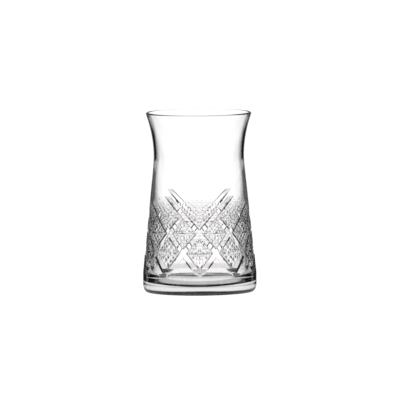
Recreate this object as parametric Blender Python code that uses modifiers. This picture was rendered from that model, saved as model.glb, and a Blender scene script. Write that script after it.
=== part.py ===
# Turkish tea glass of clear pressed glass: one turned body with a band of mitre cuts
# Metres, +Z up. The origin is at the centre of the foot, on the surface that the glass stands on.

import math

import bmesh
import bpy

# Whole glass
HEIGHT = 0.0910
TURN_STEPS = 60

# Outer side: a waist, a straight skirt below it and a flared lip above it
WAIST_RADIUS = 0.0229
WAIST_HEIGHT = 0.0686
SKIRT_SLOPE = 0.105
WAIST_SOFTNESS = 0.0030
FLARE_PER_METRE = 8.2

# Inner side
WALL_AT_WAIST = 0.0013
WALL_AT_RIM = 0.0014
INNER_WIDENING = 0.0019
INNER_EASING = 0.014
FLOOR_THICKNESS = 0.0033
FLOOR_DISH_RADIUS = 0.110
FLOOR_CORNER_RADIUS = 0.006

# Foot
BAND_TOP = 0.0098
CORNER_IN = 0.0022
CORNER_UP = 0.0046
RECESS_RADIUS = 0.0205
RECESS_SLOPE_WIDTH = 0.0012
RECESS_DEPTH = 0.0005

# Mitre cuts: a lattice of ten columns whose slanting cuts cross in four rows
COLUMNS = 10
COLUMN_ANGLE = 2.0 * math.pi / COLUMNS
CROSSING_HEIGHT = 0.0312
CROSSING_RISE = 0.0093
CROSSING_BEND = -0.0005
CUT_DEPTH = 0.0009
LOWEST_ROW = -2.0
FAN_ROWS = (2.30, 1.75, 1.35)
CLOSED_ROW = 1.15
RUN_OUT_ROWS = 0.30
RUN_OUT_LIFT = 0.0014
POINTS_PER_ROW = 2
RING_DEPTH = 0.0005

GLASS_COLOUR = (0.93, 0.94, 0.95, 1.0)
GLASS_IOR = 1.52


def below_waist(height, slope):
    """How far the outer side has moved out at this height: a straight slope, eased at the waist."""
    drop = WAIST_HEIGHT - height
    return slope * (math.hypot(drop, WAIST_SOFTNESS) - WAIST_SOFTNESS)


def outer_radius(height):
    """Radius of the outer side at a height."""
    if height >= WAIST_HEIGHT:
        return WAIST_RADIUS + FLARE_PER_METRE * (height - WAIST_HEIGHT) ** 2
    if height >= BAND_TOP:
        return WAIST_RADIUS + below_waist(height, SKIRT_SLOPE)
    return WAIST_RADIUS + below_waist(BAND_TOP, SKIRT_SLOPE)


def inner_radius(height):
    """Radius of the inner side at a height: it eases to an upright side, so the wall thickens downwards."""
    if height >= WAIST_HEIGHT:
        share = (height - WAIST_HEIGHT) / (HEIGHT - WAIST_HEIGHT)
        wall = WALL_AT_WAIST + share * (WALL_AT_RIM - WALL_AT_WAIST)
        return outer_radius(height) - wall
    easing = 1.0 - math.exp(-below_waist(height, 1.0) / INNER_EASING)
    return WAIST_RADIUS - WALL_AT_WAIST + INNER_WIDENING * easing


def row_height(row):
    """Height of the cuts' centre lines at a row of the lattice, where row 0 is the middle crossing."""
    return CROSSING_HEIGHT + CROSSING_RISE * row + CROSSING_BEND * row * row


def spaced(first, last, count):
    """Evenly spaced values from first to last, both included."""
    return [first + (last - first) * index / (count - 1) for index in range(count)]


def arc(centre, radii, start, end, count):
    """Points on an ellipse's arc, as (radius, height), between two angles in degrees."""
    points = []
    for degrees in spaced(start, end, count):
        angle = math.radians(degrees)
        points.append((centre[0] + radii[0] * math.cos(angle), centre[1] + radii[1] * math.sin(angle)))
    return points


def floor_points():
    """The dished floor and the round corner that carries it into the inner side."""
    wall = inner_radius(FLOOR_THICKNESS + 2.0 * FLOOR_CORNER_RADIUS)
    corner_radius = FLOOR_CORNER_RADIUS
    dish_centre = FLOOR_THICKNESS + FLOOR_DISH_RADIUS
    corner_out = wall - corner_radius
    corner_drop = math.sqrt((FLOOR_DISH_RADIUS - corner_radius) ** 2 - corner_out**2)
    meeting = math.degrees(math.atan2(-corner_drop, corner_out))
    dish = arc((0.0, dish_centre), (FLOOR_DISH_RADIUS,) * 2, -90.0, meeting, 4)
    corner = arc((corner_out, dish_centre - corner_drop), (corner_radius,) * 2, meeting, 0.0, 6)
    dish[0] = (0.0, FLOOR_THICKNESS)
    return dish + corner[1:]


def inner_side_points():
    """The inner side above the floor's corner, up to where the rim's curve begins."""
    heights = [0.030, 0.043, 0.051, 0.058, 0.064, WAIST_HEIGHT] + spaced(0.074, HEIGHT - WALL_AT_RIM / 2.0, 5)
    return [(inner_radius(height), height) for height in heights]


def rim_points():
    """The rounded lip between the inner and the outer side."""
    half = WALL_AT_RIM / 2.0
    middle = outer_radius(HEIGHT - half) - half
    return arc((middle, HEIGHT - half), (half, half), 150.0, 0.0, 6)


def ring_points(row):
    """A narrow ring cut through one row of crossings, from its upper edge to its lower edge."""
    height = row_height(row)
    return [
        (outer_radius(height + RING_DEPTH), height + RING_DEPTH),
        (outer_radius(height) - RING_DEPTH, height),
        (outer_radius(height - RING_DEPTH), height - RING_DEPTH),
    ]


def outer_side_points():
    """The outer side from under the rim down to the foot band."""
    heights = spaced(0.0865, 0.0725, 4) + [WAIST_HEIGHT, 0.0650, 0.0600, 0.0480]
    points = [(outer_radius(height), height) for height in heights]
    for row in (0, -1):
        points += ring_points(row)
    points.append((outer_radius(BAND_TOP), BAND_TOP))
    return points


def foot_points():
    """The foot band's rounded lower edge, the flat ring it stands on and the shallow recess inside it."""
    widest = outer_radius(BAND_TOP)
    edge = arc((widest - CORNER_IN, CORNER_UP), (CORNER_IN, CORNER_UP), 0.0, -90.0, 5)
    edge[-1] = (widest - CORNER_IN, 0.0)
    recess = [
        (RECESS_RADIUS, 0.0),
        (RECESS_RADIUS - RECESS_SLOPE_WIDTH, RECESS_DEPTH),
        (0.0, RECESS_DEPTH),
    ]
    return edge + recess


def new_collection(name):
    """An empty collection in the scene."""
    collection = bpy.data.collections.new(name)
    bpy.context.scene.collection.children.link(collection)
    return collection


def turned_body(name, points, collection):
    """A closed turned solid: the half section's points, run round the Z axis by a Screw modifier.

    It starts half a step past +X, so that the flats and not their edges face the cuts' crossings.
    """
    mesh = bpy.data.meshes.new(name)
    start = math.pi / TURN_STEPS
    across, along = math.cos(start), math.sin(start)
    corners = [(radius * across, radius * along, height) for radius, height in points]
    edges = [(index, index + 1) for index in range(len(corners) - 1)]
    mesh.from_pydata(corners, edges, [])
    body = bpy.data.objects.new(name, mesh)
    collection.objects.link(body)
    screw = body.modifiers.new("Turn", "SCREW")
    screw.axis = "Z"
    screw.angle = 2.0 * math.pi
    screw.steps = TURN_STEPS
    screw.render_steps = TURN_STEPS
    screw.use_merge_vertices = True
    screw.merge_threshold = 0.00001
    screw.use_smooth_shade = True
    return body


def fan_row(column, side):
    """Row where a slanting cut ends: cuts fan out from the front and the back, and the others stop early."""
    from_front = (column + COLUMNS / 2.0) % COLUMNS - COLUMNS / 2.0
    from_back = column % COLUMNS - COLUMNS / 2.0
    from_middle = from_front if abs(from_front) < abs(from_back) else from_back
    if side * from_middle < 0.0:
        return CLOSED_ROW
    return FAN_ROWS[int(abs(from_middle))]


def cut_path(column, side, last_row):
    """Points along one slanting cut, which lifts off the glass at both ends so that it runs out.

    The two families are sampled apart, so no corner of one falls on a corner of the other.
    """
    count = int(round((last_row - LOWEST_ROW) * POINTS_PER_ROW)) + (2 if side > 0 else 1)
    path = []
    for row in spaced(LOWEST_ROW, last_row, count):
        angle = column * COLUMN_ANGLE + side * row * COLUMN_ANGLE / 2.0
        from_end = min(row - LOWEST_ROW, last_row - row)
        lift = RUN_OUT_LIFT * max(0.0, 1.0 - from_end / RUN_OUT_ROWS)
        radius = outer_radius(row_height(row)) + lift
        path.append((radius * math.cos(angle), radius * math.sin(angle), row_height(row)))
    return path


def mitre_cutter(name, path, collection):
    """A square bar on its edge along the path, whose inner edge cuts a right-angled groove."""
    curve = bpy.data.curves.new(name, "CURVE")
    curve.dimensions = "3D"
    curve.twist_mode = "Z_UP"
    curve.bevel_depth = CUT_DEPTH
    curve.bevel_resolution = 0
    curve.use_fill_caps = True
    spline = curve.splines.new("POLY")
    spline.points.add(len(path) - 1)
    for point, place in zip(spline.points, path):
        point.co = (*place, 1.0)
    bar = bpy.data.objects.new(name, curve)
    collection.objects.link(bar)
    bpy.context.view_layer.update()
    evaluated = bar.evaluated_get(bpy.context.evaluated_depsgraph_get())
    mesh = bpy.data.meshes.new_from_object(evaluated)
    work = bmesh.new()
    work.from_mesh(mesh)
    bmesh.ops.remove_doubles(work, verts=work.verts, dist=0.000001)
    bmesh.ops.recalc_face_normals(work, faces=work.faces)
    work.to_mesh(mesh)
    work.free()
    cutter = bpy.data.objects.new(name, mesh)
    cutter.matrix_world = bar.matrix_world
    bpy.data.objects.remove(bar)
    collection.objects.link(cutter)
    cutter.hide_render = True
    cutter.display_type = "WIRE"
    return cutter


def cut_lattice(body, collection):
    """Cuts both families of slanting grooves."""
    for column in range(COLUMNS):
        for side in (-1, 1):
            path = cut_path(column - COLUMNS / 4.0, side, fan_row(column, side))
            mitre_cutter(f"mitre_{column}_{'left' if side < 0 else 'right'}", path, collection)
    cuts = body.modifiers.new("Mitre cuts", "BOOLEAN")
    cuts.operation = "DIFFERENCE"
    cuts.operand_type = "COLLECTION"
    cuts.collection = collection
    cuts.solver = "EXACT"
    triangles = body.modifiers.new("Even triangles", "TRIANGULATE")
    triangles.quad_method = "BEAUTY"
    triangles.ngon_method = "BEAUTY"


def clear_glass():
    """Pressed soda-lime glass: clear, smooth and almost without colour."""
    material = bpy.data.materials.new("pressed soda-lime glass")
    material.use_nodes = True
    shader = material.node_tree.nodes["Principled BSDF"]
    shader.inputs["Base Color"].default_value = GLASS_COLOUR
    shader.inputs["Roughness"].default_value = 0.02
    shader.inputs["Metallic"].default_value = 0.0
    shader.inputs["IOR"].default_value = GLASS_IOR
    shader.inputs["Transmission Weight"].default_value = 1.0
    return material


def main():
    for old in list(bpy.data.objects):
        bpy.data.objects.remove(old)
    parts = new_collection("turkish_tea_glass")
    cutters = new_collection("cutters")
    section = floor_points() + inner_side_points() + rim_points() + outer_side_points() + foot_points()
    glass = turned_body("glass", section, parts)
    glass.data.materials.append(clear_glass())
    cut_lattice(glass, cutters)


if __name__ == "__main__":
    main()
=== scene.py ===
"""Turkish tea glass: the finished glass with its cut pattern, on a plain white studio stage."""

import math

import bpy
import numpy as np
from mathutils import Matrix, Vector


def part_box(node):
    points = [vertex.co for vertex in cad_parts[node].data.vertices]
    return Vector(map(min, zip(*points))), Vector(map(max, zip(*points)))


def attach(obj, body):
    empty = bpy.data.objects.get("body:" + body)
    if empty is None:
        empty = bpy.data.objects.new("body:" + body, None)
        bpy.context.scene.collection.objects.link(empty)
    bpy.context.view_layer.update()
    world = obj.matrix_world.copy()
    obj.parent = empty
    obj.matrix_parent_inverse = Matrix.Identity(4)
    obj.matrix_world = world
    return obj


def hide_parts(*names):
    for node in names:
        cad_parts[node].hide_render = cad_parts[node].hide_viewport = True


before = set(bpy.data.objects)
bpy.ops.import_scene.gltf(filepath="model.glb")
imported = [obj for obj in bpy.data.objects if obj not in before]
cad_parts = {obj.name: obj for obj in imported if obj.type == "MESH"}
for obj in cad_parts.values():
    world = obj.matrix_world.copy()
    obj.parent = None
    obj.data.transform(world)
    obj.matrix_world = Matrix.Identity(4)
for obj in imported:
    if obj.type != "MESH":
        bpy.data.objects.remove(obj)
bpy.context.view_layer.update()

bl_info = {
    "name": "Turkish tea glass",
    "version": (1, 0, 0),
    "blender": (4, 5, 0),
    "location": "3D View > Sidebar > Tea glass",
    "description": "A waisted tea glass with a band of mitre cuts, and a white studio stage",
    "category": "Object",
}

MM = 0.001
GLASS_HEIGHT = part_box("glass")[1][2]
COLUMNS = 10
CUT_SLANTS = (1.0, -1.0)
RING_ROWS = (-1.0, 0.0)
LOWEST_HATCHED_ROW = -1.0

# Where the section is plain and has no row of the lattice
PLAIN = -9.0

# Points of the mesh along each stretch of the section
DISH_POINTS = 22
FLOOR_CORNER_POINTS = 18
INNER_POINTS = 60
LIP_POINTS = 16
FLARE_POINTS = 46
BAND_POINTS = 10
FOOT_EDGE_POINTS = 14
RECESS_POINTS = 8

# Edges sharper than this stay crisp; in the cut band the shallow fine cuts need a smaller angle
SHARP_ANGLE = math.radians(30.0)
BAND_SHARP_ANGLE = math.radians(3.0)

# The panels repeat round the glass, and each part of the studio fades into the next, in radians each side
PANEL_PITCH = math.radians(90.0)
HORIZON = math.radians(-1.75)
WIDE_PANEL_FADE = 0.1
NARROW_PANEL_FADE = 0.04
HORIZON_FADE = 0.013
CEILING_FADE = 0.03
OVERHEAD_FADE = 0.1
TABLE_FADE = 0.03
NEAR_TABLE_FADE = 0.05

# The floor lies a little below the foot, so that the two never touch
FLOOR_REACH = 4.0
FLOOR_DROP = 0.4 * MM
FLOOR_GLOW = 1.05

# The camera: where the glass's axis and foot lie in the picture, and how it is turned
IMAGE_PIXELS = 400
AXIS_COLUMN = 199.2
FOOT_ROW = 291.3
PIXEL_SIZE = 0.5065 * MM
CAMERA_TILT = math.radians(4.45)
CAMERA_ROLL = math.radians(-0.45)
CAMERA_DISTANCE = 5.0
SENSOR_WIDTH = 36.0

# How often light may pass or be mirrored in the glass before it is lost
LIGHT_BOUNCES = 24
MIRROR_BOUNCES = 8


def linear(hex_colour):
    """An sRGB hex colour as linear RGBA."""
    channels = [int(hex_colour[index : index + 2], 16) / 255.0 for index in (1, 3, 5)]
    return [c / 12.92 if c <= 0.04045 else ((c + 0.055) / 1.055) ** 2.4 for c in channels] + [1.0]


def add_node(tree, kind, links=None, **settings):
    """Adds a node; settings are its properties or, for names of inputs, their values; links feed inputs."""
    node = tree.nodes.new(kind)
    for key, value in settings.items():
        if hasattr(node, key):
            setattr(node, key, value)
        else:
            node.inputs[key.replace("_", " ")].default_value = value
    for key, source in (links or {}).items():
        tree.links.new(source, node.inputs[key])
    return node


# Shape of the glass


def below_waist(height, slope, glass):
    """How far a side has moved out below the waist: a straight slope, eased at the waist."""
    soft = glass.waist_softness
    return slope * (np.hypot(glass.waist_height - height, soft) - soft)


def outer_radius(height, glass):
    """Radius of the outer side: a parabola above the waist, an eased cone below it, then the foot band."""
    height = np.maximum(np.asarray(height, float), glass.band_top)
    flare = glass.flare_per_metre * (height - glass.waist_height) ** 2
    skirt = below_waist(height, glass.skirt_slope, glass)
    return glass.waist_radius + np.where(height >= glass.waist_height, flare, skirt)


def inner_radius(height, glass):
    """Radius of the inner side: the flare less the wall, or an easing to an upright side below the waist."""
    height = np.asarray(height, float)
    share = (height - glass.waist_height) / (GLASS_HEIGHT - glass.waist_height)
    wall = glass.wall_at_waist + share * (glass.wall_at_rim - glass.wall_at_waist)
    easing = 1.0 - np.exp(-below_waist(height, 1.0, glass) / glass.inner_easing)
    lower = glass.waist_radius - glass.wall_at_waist + glass.inner_widening * easing
    return np.where(height >= glass.waist_height, outer_radius(height, glass) - wall, lower)


def row_height(row, glass):
    """Height of a row of the lattice, where row 0 is the middle row of crossings."""
    return glass.crossing_height + glass.crossing_rise * row + glass.crossing_bend * row * row


def arc(centre, radii, start, end, count):
    """Points on an ellipse's arc between two angles in degrees, as an array of (radius, height)."""
    angle = np.radians(np.linspace(start, end, count))
    return np.column_stack([centre[0] + radii[0] * np.cos(angle), centre[1] + radii[1] * np.sin(angle)])


def floor_profile(glass):
    """The dished floor from the axis outwards, and the round corner up to the inner side."""
    dish_radius, corner_radius = glass.floor_dish, glass.floor_corner
    dish_centre = glass.floor_thickness + dish_radius
    out = float(inner_radius(glass.floor_thickness + 2.0 * corner_radius, glass)) - corner_radius
    drop = math.sqrt((dish_radius - corner_radius) ** 2 - out**2)
    meeting = math.degrees(math.atan2(-drop, out))
    dish = arc((0.0, dish_centre), (dish_radius,) * 2, -90.0, meeting, DISH_POINTS)
    corner = arc((out, dish_centre - drop), (corner_radius,) * 2, meeting, 0.0, FLOOR_CORNER_POINTS)
    return np.vstack([dish, corner[1:]])


def inner_profile(glass, start):
    """The inner side from the top of the floor's corner to the start of the lip's curve."""
    heights = np.linspace(start, GLASS_HEIGHT - glass.wall_at_rim / 2.0, INNER_POINTS)[1:]
    return np.column_stack([inner_radius(heights, glass), heights])


def lip_profile(glass):
    """The fire-polished lip: half a circle as thick as the wall, from the inside to the outside."""
    half = glass.wall_at_rim / 2.0
    middle = float(outer_radius(GLASS_HEIGHT - half, glass)) - half
    return arc((middle, GLASS_HEIGHT - half), (half, half), 170.0, 10.0, LIP_POINTS)


def foot_profile(glass):
    """The foot: an elliptical lower edge, the flat ring that it stands on and the recess inside it."""
    widest = float(outer_radius(glass.band_top, glass))
    inward, upward = glass.corner_in, glass.corner_up
    edge = arc((widest - inward, upward), (inward, upward), 0.0, -90.0, FOOT_EDGE_POINTS)
    ring = [[glass.recess_radius, 0.0], [glass.recess_radius - glass.recess_slope, glass.recess_depth]]
    across = np.linspace(glass.recess_radius - glass.recess_slope, 0.0, RECESS_POINTS)[1:]
    recess = np.column_stack([across, np.full(across.size, glass.recess_depth)])
    return np.vstack([edge, ring, recess])


def vee(offset, half_width, depth):
    """Depth of a V-shaped cut at an offset from its centre line."""
    return depth * np.clip(1.0 - np.abs(offset) / half_width, 0.0, None)


def to_nearest(values):
    """Signed distance to the nearest whole number."""
    return values - np.round(values)


def fan_row(column, side, glass):
    """Row where a slanting cut ends, from its column and the side that it leans to.

    Cuts fan out from the middle of the front and of the back, each lower than the one before. The cuts
    that lean towards the middle stop soon above the first row of crossings.
    """
    half = COLUMNS / 2.0
    from_front = (column + half) % COLUMNS - half
    from_back = column % COLUMNS - half
    from_middle = np.where(np.abs(from_front) < np.abs(from_back), from_front, from_back)
    outward = glass.long_cut_row - glass.fan_step * np.abs(from_middle)
    return np.where(side * from_middle < 0.0, glass.short_cut_row, outward)


def cut_depth(angle, row, glass):
    """Depth of all the cuts at an angle round the glass, in columns, and a row of the lattice.

    The slanting cuts lie where column + row / 2 or -column + row / 2 is a whole number, and have sloping
    flanks and a flat bottom. Between them fine cuts of both slants raise small pyramids, and a ring cut runs
    through two rows of crossings. Where cuts meet, the deepest one counts.
    """
    depth = np.zeros(angle.shape)
    fan_edge = np.clip((glass.hatch_top + glass.hatch_fade - row) / glass.hatch_fade, 0.0, 1.0) ** 2
    for slant in CUT_SLANTS:
        line = slant * angle + row / 2.0
        last_row = fan_row(np.round(line) * slant, -slant, glass)
        from_top = np.clip((last_row - row) / glass.run_out_rows, 0.0, 1.0)
        from_foot = np.clip((row - glass.lowest_row) / glass.foot_run_out_rows, 0.0, 1.0)
        share = np.minimum(from_top, from_foot)
        across = np.clip(np.abs(to_nearest(line)) / glass.cut_half_width, 0.0, 1.0)
        flank = np.clip((1.0 - across) / glass.flank_share, 0.0, 1.0)
        depth = np.maximum(depth, glass.cut_depth * share * flank)
        fine = vee(to_nearest(line * glass.hatch_count), 0.5, glass.hatch_depth)
        cell_row = np.floor(angle + row / 2.0) + np.floor(-angle + row / 2.0) + 1.0
        hatched = cell_row >= LOWEST_HATCHED_ROW
        depth = np.maximum(depth, np.where(hatched, fine * fan_edge, 0.0))
    for ring in RING_ROWS:
        depth = np.maximum(depth, vee(row - ring, glass.ring_half_width, glass.ring_depth))
    return depth


def glass_rows(glass):
    """All rows of the surface, from the floor's centre over the lip and round the foot to the axis below.

    Returns radius, height and the lattice row, which is PLAIN where the glass has no cuts.
    """
    floor = floor_profile(glass)
    inner = inner_profile(glass, floor[-1, 1])
    lip = lip_profile(glass)
    step = 1.0 / glass.steps_per_row
    top_row = math.ceil(glass.long_cut_row / step) * step
    lattice = np.arange(top_row, glass.lowest_row - step / 2.0, -step)
    lattice_heights = row_height(lattice, glass)
    flare = np.linspace(lip[-1, 1], lattice_heights[0], FLARE_POINTS)[1:-1]
    band = np.linspace(lattice_heights[-1], glass.corner_up, BAND_POINTS)[1:-1]
    foot = foot_profile(glass)
    parts = [
        (floor, None),
        (inner, None),
        (lip[1:], None),
        (np.column_stack([outer_radius(flare, glass), flare]), None),
        (np.column_stack([outer_radius(lattice_heights, glass), lattice_heights]), lattice),
        (np.column_stack([outer_radius(band, glass), band]), None),
        (foot, None),
    ]
    profile = np.vstack([points for points, _ in parts])
    rows = np.concatenate([np.full(len(points), PLAIN) if row is None else row for points, row in parts])
    return profile[:, 0], profile[:, 1], rows


def staggered_faces(row_count, columns, shifted):
    """Triangles between rows of equally many points, where a shifted row starts half a step round."""
    index = np.arange(columns)
    ahead = (index + 1) % columns
    faces = []
    for row in range(row_count - 1):
        low, high = row * columns, (row + 1) * columns
        if shifted[row]:
            faces.append(np.column_stack([low + index, high + ahead, high + index]))
            faces.append(np.column_stack([low + index, low + ahead, high + ahead]))
        else:
            faces.append(np.column_stack([low + index, low + ahead, high + index]))
            faces.append(np.column_stack([low + ahead, high + ahead, high + index]))
    return np.vstack(faces)


def fan(centre, ring, columns, outward):
    """Triangles from a centre point to the points of a ring."""
    index = ring + np.arange(columns)
    ahead = ring + (np.arange(columns) + 1) % columns
    middle = np.full(columns, centre)
    pair = (ahead, index) if outward else (index, ahead)
    return np.column_stack([middle, *pair])


def glass_surface(glass):
    """Points and triangles of the whole glass, and which points lie in the cut band.

    Each row is a circle of equally many points, and every second row is turned by half a step. Edges
    between rows then follow both slants of the lattice, so that the cuts' edges are mesh edges.
    """
    radius, height, rows = glass_rows(glass)
    radius, height, rows = radius[1:-1], height[1:-1], rows[1:-1]
    columns = COLUMNS * glass.steps_per_row
    first = int(np.flatnonzero(rows > PLAIN)[0])
    first_shift = int(round(rows[first] * glass.steps_per_row)) % 2
    shifted = (np.arange(len(rows)) - first + first_shift) % 2 == 1
    angle = (np.arange(columns)[None, :] + 0.5 * shifted[:, None]) / glass.steps_per_row
    row = rows[:, None] + 0.0 * angle
    depth = np.where(row > PLAIN, cut_depth(angle, row, glass), 0.0)
    in_band = np.append((row > PLAIN).ravel(), [False, False])
    turn = angle * 2.0 * np.pi / COLUMNS - np.pi / 2.0
    reach = radius[:, None] - depth
    points = np.stack([reach * np.cos(turn), reach * np.sin(turn), height[:, None] + 0.0 * turn], axis=-1)
    points = points.reshape(-1, 3)
    faces = staggered_faces(len(rows), columns, shifted)
    top = len(points)
    ends = [[0.0, 0.0, glass.floor_thickness], [0.0, 0.0, glass.recess_depth]]
    points = np.vstack([points, ends])
    faces = np.vstack([
        faces,
        fan(top, 0, columns, True),
        fan(top + 1, (len(rows) - 1) * columns, columns, False),
    ])
    return points, faces, in_band


def sharp_edges(mesh, angle):
    """Which edges of the mesh are sharper than an angle."""
    mesh.set_sharp_from_angle(angle=angle)
    sharp = np.zeros(len(mesh.edges), bool)
    marks = mesh.attributes.get("sharp_edge")
    if marks:
        marks.data.foreach_get("value", sharp)
    return sharp


def sharpen_band(mesh, in_band):
    """Marks sharp edges, down to a smaller angle where both ends lie in the cut band."""
    ends = np.empty(2 * len(mesh.edges), np.int32)
    mesh.edges.foreach_get("vertices", ends)
    inside = in_band[ends.reshape(-1, 2)].all(axis=1)
    sharp = (sharp_edges(mesh, BAND_SHARP_ANGLE) & inside) | sharp_edges(mesh, SHARP_ANGLE)
    mesh.attributes["sharp_edge"].data.foreach_set("value", sharp)


def signed_volume(points, faces):
    """Volume inside a closed mesh, negative where its faces point inwards."""
    a, b, c = (points[faces[:, corner]] for corner in range(3))
    return float(np.einsum("ij,ij->i", a, np.cross(b, c)).sum() / 6.0)


def mesh_object(name, points, faces, material):
    """A mesh object at the origin, smooth but for its sharp edges."""
    mesh = bpy.data.meshes.new(name)
    mesh.from_pydata(points.tolist(), [], faces.tolist())
    mesh.shade_smooth()
    mesh.set_sharp_from_angle(angle=SHARP_ANGLE)
    mesh.materials.append(material)
    piece = bpy.data.objects.new(name, mesh)
    bpy.context.scene.collection.objects.link(piece)
    return piece


# Materials


def pressed_glass(look):
    """Pressed soda-lime glass, fire-polished: clear and nearly colourless, with a faint ripple."""
    material = bpy.data.materials.new("pressed soda-lime glass")
    material.use_nodes = True
    tree = material.node_tree
    # The mould leaves slow ripples about a fingertip apart, which make the dark edges waver a little
    place = add_node(tree, "ShaderNodeTexCoord")
    ripple = add_node(tree, "ShaderNodeTexNoise", {"Vector": place.outputs["Object"]}, Detail=1.0)
    ripple.inputs["Scale"].default_value = 1.0 / look.ripple_spacing
    relief = add_node(tree, "ShaderNodeBump", {"Height": ripple.outputs[0]}, Distance=look.ripple_height)
    # Fire-polishing leaves no haze, so every facet throws a crisp light or dark patch
    shader = tree.nodes["Principled BSDF"]
    shader.inputs["Base Color"].default_value = linear(look.glass_colour)
    shader.inputs["Roughness"].default_value = 0.0
    shader.inputs["IOR"].default_value = look.glass_ior
    shader.inputs["Transmission Weight"].default_value = 1.0
    tree.links.new(relief.outputs["Normal"], shader.inputs["Normal"])
    return material


# Sizes, colours and light


class TeaGlassShape(bpy.types.PropertyGroup):
    """Sizes of the glass in metres, and of its lattice in rows and columns."""

    waist_radius: bpy.props.FloatProperty(
        name="Waist radius", description="Outer radius at the waist", default=0.0229, unit="LENGTH"
    )
    waist_height: bpy.props.FloatProperty(
        name="Waist height", description="Height of the narrowest place", default=0.0686, unit="LENGTH"
    )
    waist_softness: bpy.props.FloatProperty(
        name="Waist softness",
        description="Length over which the skirt eases into the waist",
        default=0.003,
        unit="LENGTH",
    )
    skirt_slope: bpy.props.FloatProperty(
        name="Skirt slope", description="How far the skirt moves out for each metre down", default=0.105
    )
    flare_per_metre: bpy.props.FloatProperty(
        name="Flare", description="Curvature of the lip flare, as its parabola has it", default=8.2
    )
    wall_at_waist: bpy.props.FloatProperty(
        name="Wall at waist",
        description="Thickness of the wall at the waist",
        default=0.0013,
        unit="LENGTH",
    )
    wall_at_rim: bpy.props.FloatProperty(
        name="Wall at lip", description="Thickness of the wall at the lip", default=0.0014, unit="LENGTH"
    )
    inner_widening: bpy.props.FloatProperty(
        name="Inner widening",
        description="How much wider the inside is at the foot",
        default=0.0019,
        unit="LENGTH",
    )
    inner_easing: bpy.props.FloatProperty(
        name="Inner easing",
        description="Length over which the inner side turns upright",
        default=0.014,
        unit="LENGTH",
    )
    floor_thickness: bpy.props.FloatProperty(
        name="Floor", description="Glass under the middle of the floor", default=0.0033, unit="LENGTH"
    )
    floor_dish: bpy.props.FloatProperty(
        name="Floor dish", description="Radius of the dished floor", default=0.110, unit="LENGTH"
    )
    floor_corner: bpy.props.FloatProperty(
        name="Floor corner",
        description="Radius of the corner round the floor",
        default=0.006,
        unit="LENGTH",
    )
    band_top: bpy.props.FloatProperty(
        name="Foot band",
        description="Top of the plain upright band of the foot",
        default=0.0098,
        unit="LENGTH",
    )
    corner_in: bpy.props.FloatProperty(
        name="Foot edge width",
        description="How far the lower edge of the foot turns in",
        default=0.0022,
        unit="LENGTH",
    )
    corner_up: bpy.props.FloatProperty(
        name="Foot edge height",
        description="How high the lower edge of the foot starts",
        default=0.0046,
        unit="LENGTH",
    )
    recess_radius: bpy.props.FloatProperty(
        name="Recess radius",
        description="Outer edge of the recess under the foot",
        default=0.0205,
        unit="LENGTH",
    )
    recess_slope: bpy.props.FloatProperty(
        name="Recess slope",
        description="Width of the slope round the recess",
        default=0.0012,
        unit="LENGTH",
    )
    recess_depth: bpy.props.FloatProperty(
        name="Recess depth", description="Depth of the recess under the foot", default=0.0005, unit="LENGTH"
    )
    crossing_height: bpy.props.FloatProperty(
        name="Middle crossings",
        description="Height of the middle row of crossings",
        default=0.0312,
        unit="LENGTH",
    )
    crossing_rise: bpy.props.FloatProperty(
        name="Row rise", description="Height of a row of the lattice", default=0.0093, unit="LENGTH"
    )
    crossing_bend: bpy.props.FloatProperty(
        name="Row bend",
        description="How much the rows close up on the way up",
        default=-0.0005,
        unit="LENGTH",
    )
    lowest_row: bpy.props.FloatProperty(
        name="Lowest row", description="Row where the cuts end at the foot", default=-2.0
    )
    long_cut_row: bpy.props.FloatProperty(
        name="Long cuts", description="Row where the longest cuts end", default=2.3
    )
    short_cut_row: bpy.props.FloatProperty(
        name="Short cuts", description="Row where the short cuts end", default=1.15
    )
    fan_step: bpy.props.FloatProperty(
        name="Fan step", description="Rows by which each next cut of a fan is shorter", default=0.5
    )
    run_out_rows: bpy.props.FloatProperty(
        name="Run-out", description="Rows over which a cut runs out at its upper end", default=0.6
    )
    foot_run_out_rows: bpy.props.FloatProperty(
        name="Run-out at the foot", description="Rows over which it runs out below", default=0.25
    )
    cut_depth: bpy.props.FloatProperty(
        name="Cut depth", description="Depth of the slanting cuts", default=0.0009, unit="LENGTH"
    )
    cut_half_width: bpy.props.FloatProperty(
        name="Cut half width",
        description="Half the width of a slanting cut, in columns",
        default=3.0 / 24.0,
    )
    flank_share: bpy.props.FloatProperty(
        name="Cut flanks",
        description="Share of the half width that slopes; the rest is flat",
        default=1.0 / 3.0,
    )
    ring_depth: bpy.props.FloatProperty(
        name="Ring cut depth", description="Depth of the level cuts", default=0.0005, unit="LENGTH"
    )
    ring_half_width: bpy.props.FloatProperty(
        name="Ring cut half width", description="Half the width of a level cut, in rows", default=2.0 / 24.0
    )
    hatch_count: bpy.props.IntProperty(
        name="Fine cuts", description="Fine cuts along the side of a diamond", default=6
    )
    hatch_depth: bpy.props.FloatProperty(
        name="Fine cut depth", description="Depth of the fine cuts", default=0.0003, unit="LENGTH"
    )
    hatch_top: bpy.props.FloatProperty(
        name="Top of the fine cuts", description="Row above which the fine cuts grow faint", default=1.0
    )
    hatch_fade: bpy.props.FloatProperty(
        name="Fade of the fine cuts", description="Rows over which they grow faint", default=1.3
    )
    steps_per_row: bpy.props.IntProperty(
        name="Steps per row", description="Steps of the mesh in a row and in a column", default=24
    )


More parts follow.
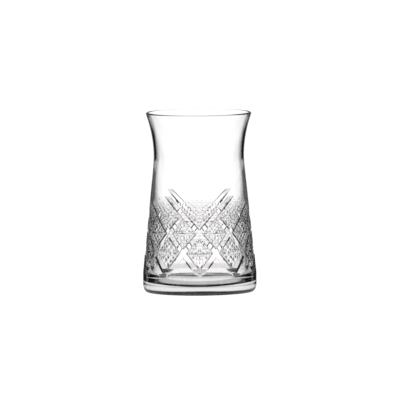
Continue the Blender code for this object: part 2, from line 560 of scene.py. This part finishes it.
class TeaGlassLook(bpy.types.PropertyGroup):
    """Colour and finish of the glass."""

    glass_colour: bpy.props.StringProperty(
        name="Glass colour", description="Colour of the glass, as sRGB hex", default="#FDFCFD"
    )
    glass_ior: bpy.props.FloatProperty(
        name="Glass IOR", description="How strongly the glass bends light", default=1.52
    )
    ripple_spacing: bpy.props.FloatProperty(
        name="Ripple spacing",
        description="Distance from one ripple to the next",
        default=0.009,
        unit="LENGTH",
    )
    ripple_height: bpy.props.FloatProperty(
        name="Ripple height", description="Height of the ripples", default=0.00003, unit="LENGTH"
    )


class TeaGlassStudio(bpy.types.PropertyGroup):
    """Light of the studio, where 1 is the white that the camera sees behind the glass."""

    panel_light: bpy.props.FloatProperty(
        name="Panel light", description="Light of the upright panels", default=1.25
    )
    gap_light: bpy.props.FloatProperty(
        name="Gap light", description="Light of the gaps between the panels", default=0.02
    )
    wide_panel: bpy.props.FloatProperty(
        name="Wide panel",
        description="Half the angle that a wide panel fills",
        default=math.radians(13.0),
        unit="ROTATION",
    )
    narrow_panel: bpy.props.FloatProperty(
        name="Narrow panel",
        description="Angle where a narrow panel starts",
        default=math.radians(41.0),
        unit="ROTATION",
    )
    horizon_light: bpy.props.FloatProperty(
        name="Horizon light", description="Light of the level band behind the table", default=0.9
    )
    ceiling_from: bpy.props.FloatProperty(
        name="Ceiling",
        description="Elevation where the ceiling starts",
        default=math.radians(8.0),
        unit="ROTATION",
    )
    ceiling_light: bpy.props.FloatProperty(
        name="Ceiling light", description="Light of the ceiling", default=0.02
    )
    overhead_from: bpy.props.FloatProperty(
        name="Overhead",
        description="Elevation where the overhead part of the ceiling starts",
        default=math.radians(30.0),
        unit="ROTATION",
    )
    overhead_light: bpy.props.FloatProperty(
        name="Overhead light", description="Light of the overhead part of the ceiling", default=0.6
    )
    table_from: bpy.props.FloatProperty(
        name="Table",
        description="Elevation where the table starts",
        default=math.radians(-12.0),
        unit="ROTATION",
    )
    table_light: bpy.props.FloatProperty(
        name="Table light", description="Light of the table", default=0.87
    )
    near_table_from: bpy.props.FloatProperty(
        name="Near table",
        description="Elevation where its near part starts",
        default=math.radians(-26.0),
        unit="ROTATION",
    )
    near_table_light: bpy.props.FloatProperty(
        name="Near table light", description="Light of the table close to the foot", default=1.1
    )
    mirrored_light: bpy.props.FloatProperty(
        name="Mirrored light",
        description="Share of light that each mirroring in the glass keeps",
        default=0.5,
    )
    soft_box_size: bpy.props.FloatProperty(
        name="Soft box", description="Side of the square soft box overhead", default=1.2, unit="LENGTH"
    )
    soft_box_height: bpy.props.FloatProperty(
        name="Soft box height",
        description="Height of the soft box over the table",
        default=1.6,
        unit="LENGTH",
    )
    soft_box_power: bpy.props.FloatProperty(
        name="Soft box power", description="Power of the soft box", default=4.0, unit="POWER"
    )


# Pieces


class TEAGLASS_OT_glass(bpy.types.Operator):
    """Builds the finished glass in place of the plain one"""

    bl_idname = "teaglass.glass"
    bl_label = "Build the glass"

    def execute(self, context):
        glass = context.scene.tea_glass_shape
        points, faces, in_band = glass_surface(glass)
        if signed_volume(points, faces) < 0.0:
            faces = faces[:, ::-1]
        material = pressed_glass(context.scene.tea_glass_look)
        piece = mesh_object("cut_tea_glass", points, faces, material)
        sharpen_band(piece.data, in_band)
        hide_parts("glass")
        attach(piece, "root")
        return {"FINISHED"}


class TEAGLASS_OT_stage(bpy.types.Operator):
    """Builds the white studio: its light, its floor and the camera"""

    bl_idname = "teaglass.stage"
    bl_label = "Build the stage"

    def execute(self, context):
        scene = context.scene
        build_world(scene)
        build_soft_box(scene)
        build_floor(scene)
        build_camera(scene)
        return {"FINISHED"}


# Stage


def soft_step(tree, value, middle, fade, before, after):
    """Goes smoothly from one light to another as a value passes the middle, over a fade each side."""
    step = add_node(tree, "ShaderNodeMapRange", {0: value}, interpolation_type="SMOOTHSTEP")
    step.inputs["From Min"].default_value = middle - fade
    step.inputs["From Max"].default_value = middle + fade
    blend = add_node(tree, "ShaderNodeMix", {0: step.outputs[0]}, data_type="FLOAT")
    for socket, light in ((blend.inputs[2], before), (blend.inputs[3], after)):
        if isinstance(light, float):
            socket.default_value = light
        else:
            tree.links.new(light, socket)
    return blend.outputs[0]


def build_world(scene):
    """A studio of lit panels: wide ones square to the glass, narrow ones between them and dark gaps.

    A band just above the table is evenly bright, the ceiling is dark but for its overhead part and the table
    is pale. The camera sees plain white, so only the light that the glass bends shows the panels and gaps.
    Light mirrored inside the glass is dimmed at each mirroring, which keeps the edge of the foot dark.
    """
    studio = scene.tea_glass_studio
    world = bpy.data.worlds.new("studio")
    scene.world = world
    world.use_nodes = True
    tree = world.node_tree
    place = add_node(tree, "ShaderNodeTexCoord")
    parts = add_node(tree, "ShaderNodeSeparateXYZ", {0: place.outputs["Generated"]})
    around = add_node(
        tree, "ShaderNodeMath", {0: parts.outputs["X"], 1: parts.outputs["Y"]}, operation="ARCTAN2"
    )
    folded = add_node(tree, "ShaderNodeMath", {0: around.outputs[0]}, operation="PINGPONG")
    folded.inputs[1].default_value = PANEL_PITCH / 2.0
    aside = folded.outputs[0]
    rise = add_node(tree, "ShaderNodeMath", {0: parts.outputs["Z"]}, operation="ARCSINE").outputs[0]
    light = soft_step(tree, aside, studio.wide_panel, WIDE_PANEL_FADE, studio.panel_light, studio.gap_light)
    light = soft_step(tree, aside, studio.narrow_panel, NARROW_PANEL_FADE, light, studio.panel_light)
    light = soft_step(tree, rise, HORIZON, HORIZON_FADE, light, studio.horizon_light)
    light = soft_step(tree, rise, studio.ceiling_from, CEILING_FADE, light, studio.ceiling_light)
    light = soft_step(tree, rise, studio.overhead_from, OVERHEAD_FADE, light, studio.overhead_light)
    light = soft_step(tree, rise, studio.table_from, TABLE_FADE, studio.table_light, light)
    light = soft_step(tree, rise, studio.near_table_from, NEAR_TABLE_FADE, studio.near_table_light, light)
    ray = add_node(tree, "ShaderNodeLightPath")
    kept = add_node(tree, "ShaderNodeMath", {1: ray.outputs["Glossy Depth"]}, operation="POWER")
    kept.inputs[0].default_value = studio.mirrored_light
    lit = add_node(tree, "ShaderNodeMath", {0: light, 1: kept.outputs[0]}, operation="MULTIPLY")
    shown = add_node(
        tree, "ShaderNodeMath", {0: ray.outputs["Is Camera Ray"], 1: lit.outputs[0]}, operation="MAXIMUM"
    )
    tree.links.new(shown.outputs[0], tree.nodes["Background"].inputs["Color"])


def build_soft_box(scene):
    """A large soft box overhead, out of the camera's sight, which lays a faint sheen on the cuts."""
    studio = scene.tea_glass_studio
    data = bpy.data.lights.new("soft box", "AREA")
    data.shape = "SQUARE"
    data.size = studio.soft_box_size
    data.energy = studio.soft_box_power
    box = bpy.data.objects.new("soft_box", data)
    box.location = (0.0, 0.0, studio.soft_box_height)
    box.visible_camera = False
    scene.collection.objects.link(box)


def build_floor(scene):
    """A plain white floor that the camera sees, bright as a lit acrylic table."""
    material = bpy.data.materials.new("lit opal acrylic")
    material.use_nodes = True
    tree = material.node_tree
    tree.nodes.remove(tree.nodes["Principled BSDF"])
    glow = add_node(tree, "ShaderNodeEmission", Strength=FLOOR_GLOW)
    tree.links.new(glow.outputs[0], tree.nodes["Material Output"].inputs["Surface"])
    corners = FLOOR_REACH * np.array([[-1.0, -1.0], [1.0, -1.0], [1.0, 1.0], [-1.0, 1.0]])
    corners = np.column_stack([corners, np.full(4, -FLOOR_DROP)])
    floor = mesh_object("floor", corners, np.array([[0, 1, 2], [0, 2, 3]]), material)
    floor.visible_transmission = False
    floor.visible_glossy = False
    floor.visible_diffuse = False
    floor.visible_shadow = False


def build_camera(scene):
    """A long lens at the photograph's angle; a pixel of the photograph is 0.5 mm at the glass."""
    data = bpy.data.cameras.new("camera")
    camera = bpy.data.objects.new("camera", data)
    scene.collection.objects.link(camera)
    scene.camera = camera
    data.sensor_width = SENSOR_WIDTH
    data.lens = SENSOR_WIDTH * CAMERA_DISTANCE / (IMAGE_PIXELS * PIXEL_SIZE)
    across = (IMAGE_PIXELS / 2.0 - AXIS_COLUMN) * PIXEL_SIZE
    up = (FOOT_ROW - IMAGE_PIXELS / 2.0) * PIXEL_SIZE
    back = Vector((0.0, -math.cos(CAMERA_TILT), math.sin(CAMERA_TILT)))
    right = Vector((1.0, 0.0, 0.0))
    upward = right.cross(-back).normalized()
    target = right * across + upward * up
    place = target + back * CAMERA_DISTANCE
    turn = Matrix((right, upward, back)).transposed()
    roll = Matrix.Rotation(CAMERA_ROLL, 3, back)
    camera.matrix_world = Matrix.Translation(place) @ (roll @ turn).to_4x4()
    data.clip_start = 0.05
    data.clip_end = 50.0
    scene.view_settings.view_transform = "Standard"
    scene.cycles.max_bounces = LIGHT_BOUNCES
    scene.cycles.transmission_bounces = LIGHT_BOUNCES
    scene.cycles.glossy_bounces = MIRROR_BOUNCES


class TEAGLASS_PT_panel(bpy.types.Panel):
    """Sizes and steps of the tea glass"""

    bl_idname = "TEAGLASS_PT_panel"
    bl_label = "Turkish tea glass"
    bl_space_type = "VIEW_3D"
    bl_region_type = "UI"
    bl_category = "Tea glass"

    def draw(self, context):
        layout = self.layout
        scene = context.scene
        for group in (scene.tea_glass_shape, scene.tea_glass_look, scene.tea_glass_studio):
            for name in group.__annotations__:
                layout.prop(group, name)
        layout.operator("teaglass.glass")
        layout.operator("teaglass.stage")


CLASSES = (
    TeaGlassShape,
    TeaGlassLook,
    TeaGlassStudio,
    TEAGLASS_OT_glass,
    TEAGLASS_OT_stage,
    TEAGLASS_PT_panel,
)


def register():
    """Adds the add-on's classes and its properties."""
    for each in CLASSES:
        bpy.utils.register_class(each)
    bpy.types.Scene.tea_glass_shape = bpy.props.PointerProperty(type=TeaGlassShape)
    bpy.types.Scene.tea_glass_look = bpy.props.PointerProperty(type=TeaGlassLook)
    bpy.types.Scene.tea_glass_studio = bpy.props.PointerProperty(type=TeaGlassStudio)


def unregister():
    """Takes the add-on's classes and properties away."""
    del bpy.types.Scene.tea_glass_studio
    del bpy.types.Scene.tea_glass_look
    del bpy.types.Scene.tea_glass_shape
    for each in reversed(CLASSES):
        bpy.utils.unregister_class(each)


def main():
    """Builds the stage and the glass."""
    register()
    bpy.ops.teaglass.stage()
    bpy.ops.teaglass.glass()


if __name__ == "__main__":
    main()
